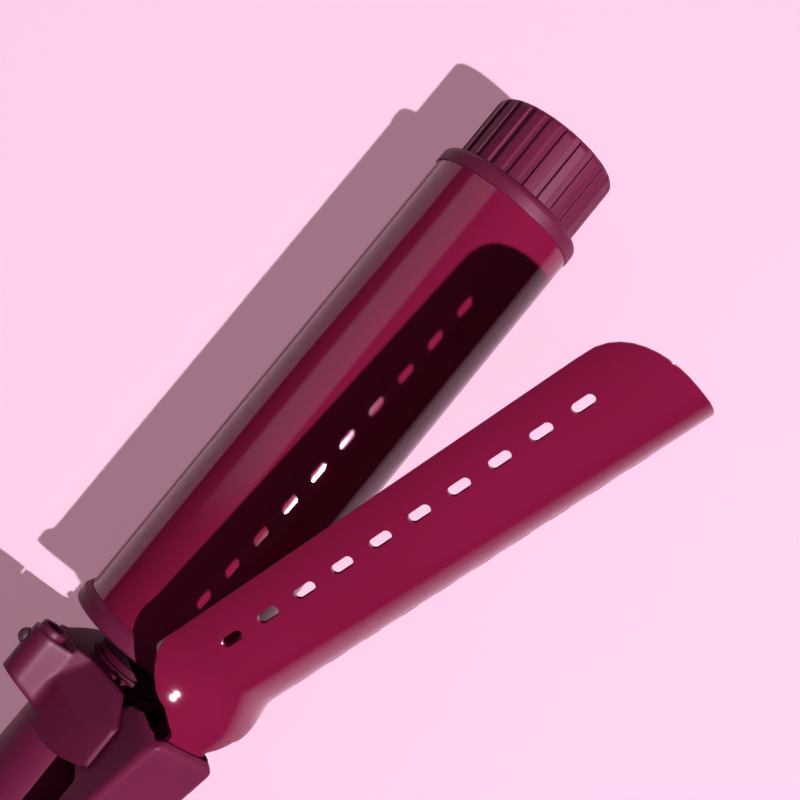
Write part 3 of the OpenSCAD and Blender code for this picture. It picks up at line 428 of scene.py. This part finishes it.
class TongsColours(bpy.types.PropertyGroup):
    satin: FloatVectorProperty(
        name="Satin plastic", description="Colour of the grip, collar, lever and rings",
        subtype="COLOR", default=(0.175, 0.0105, 0.056))
    enamel: FloatVectorProperty(
        name="Enamel", description="Colour of the barrel and the clamp",
        subtype="COLOR", default=(0.245, 0.0078, 0.051))
    rubber: FloatVectorProperty(
        name="Rubber", description="Colour of the foot pads and the cord inlet",
        subtype="COLOR", default=(0.060, 0.012, 0.026))
    # Painted shade: the neck is near-black, standing in for the shadow between the barrel and the collar
    neck: FloatVectorProperty(
        name="Neck", description="Colour of the neck between barrel and collar",
        subtype="COLOR", default=(0.014, 0.003, 0.006))
    buttons: FloatVectorProperty(
        name="Buttons", description="Colour of the buttons",
        subtype="COLOR", default=(0.300, 0.070, 0.130))
    marks: FloatVectorProperty(
        name="Marks", description="Colour of the marks on the buttons",
        subtype="COLOR", default=(0.85, 0.60, 0.68))
    floor: FloatVectorProperty(
        name="Floor", description="Colour of the floor and the backdrop",
        subtype="COLOR", default=(1.0, 0.645, 0.847))


class TongsFinish(bpy.types.PropertyGroup):
    grain: FloatProperty(
        name="Grain", description="Grains of the satin plastic to a metre", default=3600.0)
    satin_roughness: FloatProperty(
        name="Satin roughness", description="Roughness of the satin plastic", subtype="FACTOR", default=0.42)
    edge: FloatProperty(
        name="Edge", description="Radius that the edges are rubbed to", unit="LENGTH", default=0.0004)
    collar_edge: FloatProperty(
        name="Collar edge", description="Radius that the collar's edges are rubbed to",
        unit="LENGTH", default=0.0018)
    # Painted shade: the hub's front flange takes a darkened share of the satin colour, standing in for the
    # shade it lies in
    flange_painted_shade: FloatProperty(
        name="Flange share", description="Share of the satin colour on the neck's flange",
        subtype="FACTOR", default=0.5)
    # Painted shade: the collar takes a darker share of the satin colour, standing in for the weaker light on
    # its facets
    collar_painted_shade: FloatProperty(
        name="Collar share", description="Share of the satin colour on the collar",
        subtype="FACTOR", default=0.78)
    cell: FloatProperty(
        name="Cell", description="Size of the cells of the lever's rubbed skin",
        unit="LENGTH", default=0.0003)
    rubs: IntProperty(
        name="Rubs", description="How often the lever's rubbed skin is smoothed", default=12)


class TongsStage(bpy.types.PropertyGroup):
    camera_place: FloatVectorProperty(
        name="Camera", description="Place of the camera",
        subtype="TRANSLATION", default=(0.072374, 0.021181, 0.319835))
    camera_turn: FloatVectorProperty(
        name="Camera turn", description="Turn of the camera in degrees",
        default=(0.25621, -3.77473, -50.82703))
    lens: FloatProperty(
        name="Lens", description="Focal length of the camera in millimetres", default=58.475)
    key_place: FloatVectorProperty(
        name="Key lamp", description="Place of the key lamp and the sheen lamp",
        subtype="TRANSLATION", default=(0.029, -0.380, 0.676))
    key_power: FloatProperty(
        name="Key power", description="Power of the key lamp in watts", default=42.5)
    key_radius: FloatProperty(
        name="Key radius", description="Radius of the key lamp", unit="LENGTH", default=0.006)
    key_tint: FloatVectorProperty(
        name="Key tint", description="Colour of the key lamp", subtype="COLOR", default=(1.0, 1.0, 1.0))
    sheen_power: FloatProperty(
        name="Sheen power", description="Power of the lamp that only gives gloss, in watts", default=170.0)
    sheen_radius: FloatProperty(
        name="Sheen radius", description="Radius of the sheen lamp", unit="LENGTH", default=0.008)
    sheen_tint: FloatVectorProperty(
        name="Sheen tint", description="Colour of the sheen lamp", subtype="COLOR", default=(1.0, 0.6, 0.82))
    panel_place: FloatVectorProperty(
        name="Panel", description="Place of the soft panel",
        subtype="TRANSLATION", default=(0.26, 0.61, 0.625))
    panel_tilt: FloatProperty(
        name="Panel tilt", description="Tilt of the soft panel in degrees", default=-59.7)
    panel_size: FloatVectorProperty(
        name="Panel size", description="Width and height of the soft panel",
        size=2, unit="LENGTH", default=(0.66, 0.753))
    panel_power: FloatProperty(
        name="Panel power", description="Power of the soft panel in watts", default=1.3)
    panel_tint: FloatVectorProperty(
        name="Panel tint", description="Colour of the soft panel", subtype="COLOR", default=(1.0, 0.88, 1.0))
    panel_fade: FloatProperty(
        name="Panel fade", description="Share of the panel's width over which each edge fades",
        subtype="FACTOR", default=0.17)
    sky: FloatProperty(
        name="Fill", description="Strength of the even fill light", default=0.02)
    sky_tint: FloatVectorProperty(
        name="Fill tint", description="Colour of the even fill light",
        subtype="COLOR", default=(1.0, 0.86, 0.92))
    floor_share: FloatProperty(
        name="Floor share", description="Share of its colour that the floor shows by the lamps",
        subtype="FACTOR", default=0.80)
    shade: FloatVectorProperty(
        name="Shade", description="Glow of the floor that its shadows keep",
        subtype="COLOR", default=(0.277, 0.132, 0.178))
    floor_dim: FloatProperty(
        name="Floor dimming", description="Share of the floor's thrown light that is held back",
        subtype="FACTOR", default=0.6)
    fade_front: FloatVectorProperty(
        name="Front fade", description="Where the floor's reflection in front is gone and full",
        size=2, unit="LENGTH", default=(-0.22, -0.08))
    fade_back: FloatVectorProperty(
        name="Back fade", description="Where the floor's reflection behind is full and gone",
        size=2, unit="LENGTH", default=(0.24, 0.32))
    far_from: FloatProperty(
        name="Far from", description="Where the back fade starts to move further back",
        unit="LENGTH", default=0.09)
    far_push: FloatProperty(
        name="Far push", description="How far the back fade moves for each metre past that", default=5.0)
    plain_from: FloatVectorProperty(
        name="Plain floor", description="Distances at which the floor starts to turn plain and is plain",
        size=2, unit="LENGTH", default=(0.32, 0.75))


# Pieces

class TONGS_OT_satin(bpy.types.Operator):
    """Satin plastic on the rings, cool tip, grip, end cap and collar, and a rubbed skin for the lever"""
    bl_idname = "tongs.satin"
    bl_label = "Satin plastic"

    def execute(self, context):
        finish, colour = context.scene.tongs_finish, tuple(context.scene.tongs_colours.satin)
        roughness, grain = finish.satin_roughness, finish.grain
        satin = satin_plastic("satin_plastic", colour, roughness, grain, finish.edge)
        clothe(satin, "base_ring", "tip_ring", "cool_tip", "thumb_lever",
               "handle_upper_shell", "handle_lower_shell", "end_cap")
        # Painted shade: the collar's satin is a darker copy of the others' satin, standing in for the weaker
        # light on its facets
        darker = tuple(c * finish.collar_painted_shade for c in colour)
        rounded = satin_plastic("satin_plastic_rounded", darker, roughness, grain, finish.collar_edge)
        clothe(rounded, "hinge_collar")
        rubbed = satin_plastic("satin_plastic_rubbed", colour, roughness, grain, 0)
        skin = softened_copy("thumb_lever", "lever_skin", finish.cell, finish.rubs)
        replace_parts(add_piece("lever_skin", skin, "clamp", rubbed), "thumb_lever")
        return {"FINISHED"}


class TONGS_OT_enamel(bpy.types.Operator):
    """High-gloss enamel on the barrel and the clamp"""
    bl_idname = "tongs.enamel"
    bl_label = "Enamel"

    def execute(self, context):
        enamel = gloss_enamel("gloss_enamel", tuple(context.scene.tongs_colours.enamel))
        clothe(enamel, "barrel_tube", "clamp_plate")
        mesh = welded_copy("clamp_plate", "clamp_skin")
        turn_far_row(mesh)
        piece = add_piece("clamp_skin", mesh, "clamp", enamel, smooth=False)
        sheet_normals(mesh)
        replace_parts(piece, "clamp_plate")
        return {"FINISHED"}


class TONGS_OT_neck(bpy.types.Operator):
    """The neck, the rubber foot pads and the cord inlet"""
    bl_idname = "tongs.neck"
    bl_label = "Neck and rubber"

    def execute(self, context):
        colours, finish = context.scene.tongs_colours, context.scene.tongs_finish
        # Painted shade: the neck is near-black and its flange a darkened satin, both standing in for the
        # shade between barrel and collar
        flange = tuple(c * finish.flange_painted_shade for c in colours.satin)
        clothe(banded_plastic("neck_plastic_painted_shade", tuple(colours.neck), flange, finish), "barrel_hub")
        rubber = moulded("matt_rubber", tuple(colours.rubber), 0.62, scale=1500, depth=0.00003)
        clothe(rubber, "foot_pads", "cord_inlet")
        return {"FINISHED"}


class TONGS_OT_metal(bpy.types.Operator):
    """Steel of the screws, rivets, pin and retaining ring"""
    bl_idname = "tongs.metal"
    bl_label = "Steel parts"

    def execute(self, context):
        clothe(turned_metal("dark_screw_steel", (0.10, 0.085, 0.09), 0.34),
               "ear_screws", "handle_screws", "tip_screw", "board_screws")
        clothe(turned_metal("turned_steel", (0.50, 0.50, 0.52), 0.26, lines=(300, 3000, 3000)),
               "hinge_pin", "lever_screws", "swivel_retainer")
        return {"FINISHED"}


class TONGS_OT_spring(bpy.types.Operator):
    """The clamp's spring as one round drawn wire"""
    bl_idname = "tongs.spring"
    bl_label = "Clamp spring"

    def execute(self, context):
        wire = turned_metal("drawn_wire", (0.30, 0.30, 0.32), 0.28, lines=(2500, 2500, 400))
        clothe(wire, "clamp_spring")
        return {"FINISHED"}


class TONGS_OT_heater(bpy.types.Operator):
    """The heater inside the barrel: cores, element, film, fuse, sensor and leads"""
    bl_idname = "tongs.heater"
    bl_label = "Heater"

    def execute(self, context):
        clothe(turned_metal("extruded_aluminium", (0.66, 0.66, 0.68), 0.34, lines=(120, 3000, 3000)),
               "heater_core_upper", "heater_core_lower")
        element = turned_metal("element_plate", (0.42, 0.40, 0.38), 0.4, lines=(200, 2500, 2500))
        clothe(element, "heating_element")
        clothe(moulded("amber_film", (0.52, 0.20, 0.03), 0.22, scale=500), "heater_film")
        ceramic = moulded("fired_ceramic", (0.78, 0.74, 0.66), 0.6, scale=1800, depth=0.00004)
        clothe(ceramic, "thermal_fuse", "terminal_block")
        clothe(moulded("sensor_bead", (0.02, 0.02, 0.022), 0.35, scale=1200), "temperature_sensor")
        clothe(woven_sleeve("glass_sleeve", (0.80, 0.77, 0.70)), "heater_leads")
        return {"FINISHED"}


# The marks' strokes: how deep they start in the button and how far they stand out of it, half their width,
# how far round their ends go, and the points along a straight and a round one
MARK_DEPTH = 0.0002
MARK_LIFT = 0.00006
STROKE = 0.00032
END_ROUND = 0.999
LINE_POINTS = 41
RING_POINTS = 81

# The length of the plus and minus strokes, and the power sign: its ring's radius, half the angle of its gap,
# and its bar's length and distance from the middle
MARK_LENGTH = 0.003
POWER_RADIUS = 0.0017
POWER_GAP = 0.6
POWER_BAR = 0.0017
POWER_BAR_OUT = 0.0013

# A button's dome: how far it falls from its middle, and how much wider to each side the button is
DOME = 0.00034
BUTTON_RIM = 0.0011


def straight_stroke(length, turn):
    """Points and directions of a straight stroke through the middle of a button: evenly placed along a line
    that is turned by an angle from the barrel's direction."""
    way = np.array([math.cos(turn), math.sin(turn)])
    steps = np.linspace(-length / 2, length / 2, LINE_POINTS)
    return steps[:, None] * way, np.tile(way, (LINE_POINTS, 1)), steps


def round_stroke(radius, gap):
    """Points and directions of a stroke round a circle, with a gap at the barrel's direction."""
    turn = np.linspace(gap, 2 * np.pi - gap, RING_POINTS)
    spot = radius * np.stack([np.cos(turn), np.sin(turn)], -1)
    return spot, np.stack([-np.sin(turn), np.cos(turn)], -1), radius * (turn - np.pi)


def stroke_grid(stroke, centre, top, slope):
    """A raised stroke: at each point of its path stands a flat box as wide as the stroke, which narrows by a
    half circle at both ends. It starts in the button, ends just over it and falls with the button's dome."""
    spot, way, steps = stroke
    beyond = np.clip((np.abs(steps) - np.abs(steps).max() + STROKE) / STROKE, 0, END_ROUND)
    half = STROKE * np.sqrt(1 - beyond ** 2)
    side = np.stack([-way[:, 1], way[:, 0]], -1)
    shift = half[:, None, None] * side[:, None] * np.array([1, 1, -1, -1])[None, :, None]
    flat = spot[:, None] + shift
    stand = np.array([MARK_LIFT, -MARK_DEPTH, -MARK_DEPTH, MARK_LIFT])
    level = top + stand - slope * np.linalg.norm(flat, axis=-1)
    return centre + flat[..., :1] * AXES[0] + flat[..., 1:] * AXES[1] + level[..., None] * AXES[2]


def raised_mark(node, strokes, body, material):
    """The strokes of a button's mark, set on the middle of the button's top."""
    mesh = frame["nodes"][node].data
    co = np.empty(len(mesh.vertices) * 3)
    mesh.vertices.foreach_get("co", co)
    along, top = np.ptp(co.reshape(-1, 3) @ AXES[0]), (co.reshape(-1, 3) @ AXES[2]).max()
    slope = DOME / (along / 2 - BUTTON_RIM)
    middle = np.mean([np.array(c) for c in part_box(node)], axis=0)
    centre = middle - AXES[2] * (middle @ AXES[2])
    for number, stroke in enumerate(strokes, 1):
        name = f"{node.replace('button', 'mark')}_{number}"
        grid = stroke_grid(stroke, centre, top, slope)
        add_piece(name, grid_mesh(name, grid, closed=True), body, material, smooth=False)


class TONGS_OT_controls(bpy.types.Operator):
    """The control panel, its buttons with their marks, its lenses and the board behind them"""
    bl_idname = "tongs.controls"
    bl_label = "Controls"

    def execute(self, context):
        colours, finish = context.scene.tongs_colours, context.scene.tongs_finish
        panel = moulded("panel_gloss", (0.030, 0.006, 0.014), 0.12, scale=400, depth=0.00001)
        clothe(panel, "control_panel")
        buttons = satin_plastic("button_satin", tuple(colours.buttons), 0.4, finish.grain, 0.0003)
        clothe(buttons, "power_button", "plus_button", "minus_button")
        clothe(moulded("frosted_lens", (0.85, 0.80, 0.78), 0.3, depth=0.00001, Transmission_Weight=0.3),
               "indicator_lenses")
        clothe(circuit_laminate("board_laminate", (0.02, 0.12, 0.05)), "circuit_board")
        clothe(moulded("switch_black", (0.015, 0.015, 0.017), 0.4, scale=1400), "button_switches")
        ink = moulded("mark_ink", tuple(colours.marks), 0.5, scale=1600, depth=0.00001, drift=0.03)
        upright, level = straight_stroke(MARK_LENGTH, 0.0), straight_stroke(MARK_LENGTH, math.pi / 2)
        spot, way, steps = straight_stroke(POWER_BAR, 0.0)
        power = [round_stroke(POWER_RADIUS, POWER_GAP), (spot + [POWER_BAR_OUT, 0.0], way, steps)]
        raised_mark("power_button", power, "power_key", ink)
        raised_mark("plus_button", [upright, level], "plus_key", ink)
        raised_mark("minus_button", [level], "minus_key", ink)
        return {"FINISHED"}


# Half the floor's side, and how far it lies under the tongs
FLOOR_HALF = 4
FLOOR_DROP = 0.00005


def blend(paint, share, first, second):
    """Mixes two shaders of a material: none of the second at share 0, all of it at 1."""
    mix = paint.node("ShaderNodeMixShader")
    paint.links.new(share, mix.inputs["Fac"])
    paint.links.new(first, mix.inputs[1])
    paint.links.new(second, mix.inputs[2])
    return mix.outputs[0]


def floor_paint(settings, colours):
    """The floor's material: lit by the lamps, with a glow that its shadows keep. In gloss it fades out away
    from the tongs, some of the light it throws is held back, and far off the camera sees the backdrop."""
    lit = tuple(settings.floor_share * c for c in colours.floor)
    paint = Finish("pale_floor", lit, roughness=0.9, Specular_IOR_Level=0.0)
    paint.bump_by(paint.noise(600), depth=0.00001, strength=0.1)
    glow = paint.node("ShaderNodeEmission", Color=(*settings.shade, 1))
    ray = paint.node("ShaderNodeLightPath").outputs
    seen = paint.join("MAXIMUM", ray["Is Camera Ray"], ray["Is Glossy Ray"])
    paint.links.new(seen, glow.inputs["Strength"])
    both = paint.node("ShaderNodeAddShader")
    paint.links.new(paint.shader.outputs[0], both.inputs[0])
    paint.links.new(glow.outputs[0], both.inputs[1])

    # in gloss it fades in front and behind, and behind the tip it reaches further back
    axes = paint.node("ShaderNodeSeparateXYZ")
    paint.links.new(paint.place, axes.inputs[0])
    front = paint.spread(axes.outputs["Y"], 1.0, 0.0, *settings.fade_front)
    beyond = paint.join("MAXIMUM", paint.join("SUBTRACT", axes.outputs["X"], settings.far_from), 0.0)
    pushed = paint.join("SUBTRACT", axes.outputs["Y"], paint.join("MULTIPLY", beyond, settings.far_push))
    back = paint.spread(pushed, 0.0, 1.0, *settings.fade_back)
    glossy = paint.join("MULTIPLY", ray["Is Glossy Ray"], paint.join("MAXIMUM", front, back))
    thrown = paint.join("MULTIPLY", ray["Is Diffuse Ray"], settings.floor_dim)
    dark = paint.node("ShaderNodeEmission", Strength=0.0)
    near = blend(paint, paint.join("MAXIMUM", glossy, thrown), both.outputs[0], dark.outputs[0])

    # far from the tongs the camera sees the plain colour of the backdrop
    far = paint.node("ShaderNodeVectorMath", operation="LENGTH")
    paint.links.new(paint.place, far.inputs[0])
    away = paint.spread(far.outputs["Value"], 0.0, 1.0, *settings.plain_from)
    plain = paint.node("ShaderNodeEmission", Color=(*colours.floor, 1), Strength=1.0)
    whole = blend(paint, paint.join("MULTIPLY", ray["Is Camera Ray"], away), near, plain.outputs[0])
    paint.links.new(whole, paint.nodes["Material Output"].inputs["Surface"])
    return paint.material


def point_lamp(name, place, power, radius, tint):
    """A small round lamp whose light is as strong at any distance."""
    light = bpy.data.lights.new(name, "POINT")
    light.energy = 1
    light.color = tint
    light.shadow_soft_size = radius
    light.use_nodes = True
    nodes, links = light.node_tree.nodes, light.node_tree.links
    even = nodes.new("ShaderNodeLightFalloff")
    even.inputs["Strength"].default_value = power
    links.new(even.outputs["Constant"], nodes["Emission"].inputs["Strength"])
    lamp = bpy.data.objects.new(name, light)
    lamp.location = place
    bpy.context.scene.collection.objects.link(lamp)
    return lamp


def soft_panel(settings):
    """A flat lamp that is even in its middle and fades out towards its four edges: its strength is the
    product of four smooth steps, one from each edge."""
    panel = bpy.data.lights.new("panel", "AREA")
    panel.shape = "RECTANGLE"
    panel.size, panel.size_y = settings.panel_size
    panel.energy = settings.panel_power
    panel.color = settings.panel_tint
    panel.use_nodes = True
    nodes, links = panel.node_tree.nodes, panel.node_tree.links
    across = nodes.new("ShaderNodeSeparateXYZ")
    links.new(nodes.new("ShaderNodeNewGeometry").outputs["Parametric"], across.inputs[0])
    total = None
    for axis in ("X", "Y"):
        for start, end in ((0.0, settings.panel_fade), (1.0, 1.0 - settings.panel_fade)):
            fade = nodes.new("ShaderNodeMapRange")
            fade.interpolation_type = "SMOOTHSTEP"
            fade.inputs["From Min"].default_value = start
            fade.inputs["From Max"].default_value = end
            links.new(across.outputs[axis], fade.inputs["Value"])
            if total is None:
                total = fade.outputs["Result"]
                continue
            product = nodes.new("ShaderNodeMath")
            product.operation = "MULTIPLY"
            links.new(total, product.inputs[0])
            links.new(fade.outputs["Result"], product.inputs[1])
            total = product.outputs[0]
    links.new(total, nodes["Emission"].inputs["Strength"])
    board = bpy.data.objects.new("panel", panel)
    board.location = settings.panel_place
    board.rotation_euler = (math.radians(settings.panel_tilt), 0, 0)
    bpy.context.scene.collection.objects.link(board)


def studio_world(settings, colours):
    """The world: an even faint fill, which the camera sees as the plain backdrop."""
    world = bpy.data.worlds.new("studio")
    bpy.context.scene.world = world
    world.use_nodes = True
    nodes, links = world.node_tree.nodes, world.node_tree.links
    fill = nodes["Background"]
    fill.inputs["Color"].default_value = (*settings.sky_tint, 1)
    fill.inputs["Strength"].default_value = settings.sky
    seen = nodes.new("ShaderNodeBackground")
    seen.inputs["Color"].default_value = (*colours.floor, 1)
    seen.inputs["Strength"].default_value = 1.0
    path = nodes.new("ShaderNodeLightPath")
    mix = nodes.new("ShaderNodeMixShader")
    links.new(path.outputs["Is Camera Ray"], mix.inputs["Fac"])
    links.new(fill.outputs[0], mix.inputs[1])
    links.new(seen.outputs[0], mix.inputs[2])
    links.new(mix.outputs[0], nodes["World Output"].inputs["Surface"])


class TONGS_OT_stage(bpy.types.Operator):
    """The floor, the lamps, the backdrop and the camera"""
    bl_idname = "tongs.stage"
    bl_label = "Stage"

    def execute(self, context):
        scene = context.scene
        settings, colours = scene.tongs_stage, scene.tongs_colours
        side = np.array([-FLOOR_HALF, FLOOR_HALF])
        x, y = np.meshgrid(side, side, indexing="ij")
        floor = bpy.data.objects.new("floor", grid_mesh("floor", np.stack([x, y, x * 0 - FLOOR_DROP], -1)))
        scene.collection.objects.link(floor)
        floor.data.materials.append(floor_paint(settings, colours))

        # the key lights everything, and the sheen lamp at the same place only gives gloss
        place = settings.key_place
        point_lamp("key", place, settings.key_power, settings.key_radius, settings.key_tint)
        sheen = point_lamp("sheen", place, settings.sheen_power, settings.sheen_radius, settings.sheen_tint)
        sheen.visible_diffuse = False
        soft_panel(settings)
        studio_world(settings, colours)

        camera = bpy.data.cameras.new("camera")
        camera.lens = settings.lens
        camera.sensor_width = 36
        camera.clip_start = 0.01
        eye = bpy.data.objects.new("camera", camera)
        eye.location = settings.camera_place
        eye.rotation_euler = [math.radians(a) for a in settings.camera_turn]
        scene.collection.objects.link(eye)
        scene.camera = eye
        scene.view_settings.view_transform = "Standard"
        return {"FINISHED"}


class TONGS_PT_panel(bpy.types.Panel):
    """Lists the steps that dress the tongs"""
    bl_idname = "TONGS_PT_panel"
    bl_label = "Curling tongs"
    bl_space_type = "VIEW_3D"
    bl_region_type = "UI"
    bl_category = "Tongs"

    def draw(self, context):
        for group in (context.scene.tongs_colours, context.scene.tongs_finish, context.scene.tongs_stage):
            box = self.layout.box()
            for name in group.__annotations__:
                box.prop(group, name)
        for step in STEPS:
            self.layout.operator(step.bl_idname)


STEPS = (TONGS_OT_satin, TONGS_OT_enamel, TONGS_OT_neck, TONGS_OT_metal, TONGS_OT_spring,
         TONGS_OT_heater, TONGS_OT_controls, TONGS_OT_stage)
GROUPS = {"tongs_colours": TongsColours, "tongs_finish": TongsFinish, "tongs_stage": TongsStage}


def register():
    for cls in (*GROUPS.values(), *STEPS, TONGS_PT_panel):
        bpy.utils.register_class(cls)
    for name, group in GROUPS.items():
        setattr(bpy.types.Scene, name, PointerProperty(type=group))


def unregister():
    for name in GROUPS:
        delattr(bpy.types.Scene, name)
    for cls in reversed((*GROUPS.values(), *STEPS, TONGS_PT_panel)):
        bpy.utils.unregister_class(cls)


def main():
    register()
    bpy.ops.tongs.satin()
    bpy.ops.tongs.enamel()
    bpy.ops.tongs.neck()
    bpy.ops.tongs.metal()
    bpy.ops.tongs.spring()
    bpy.ops.tongs.heater()
    bpy.ops.tongs.controls()
    bpy.ops.tongs.stage()


if __name__ == "__main__":
    main()
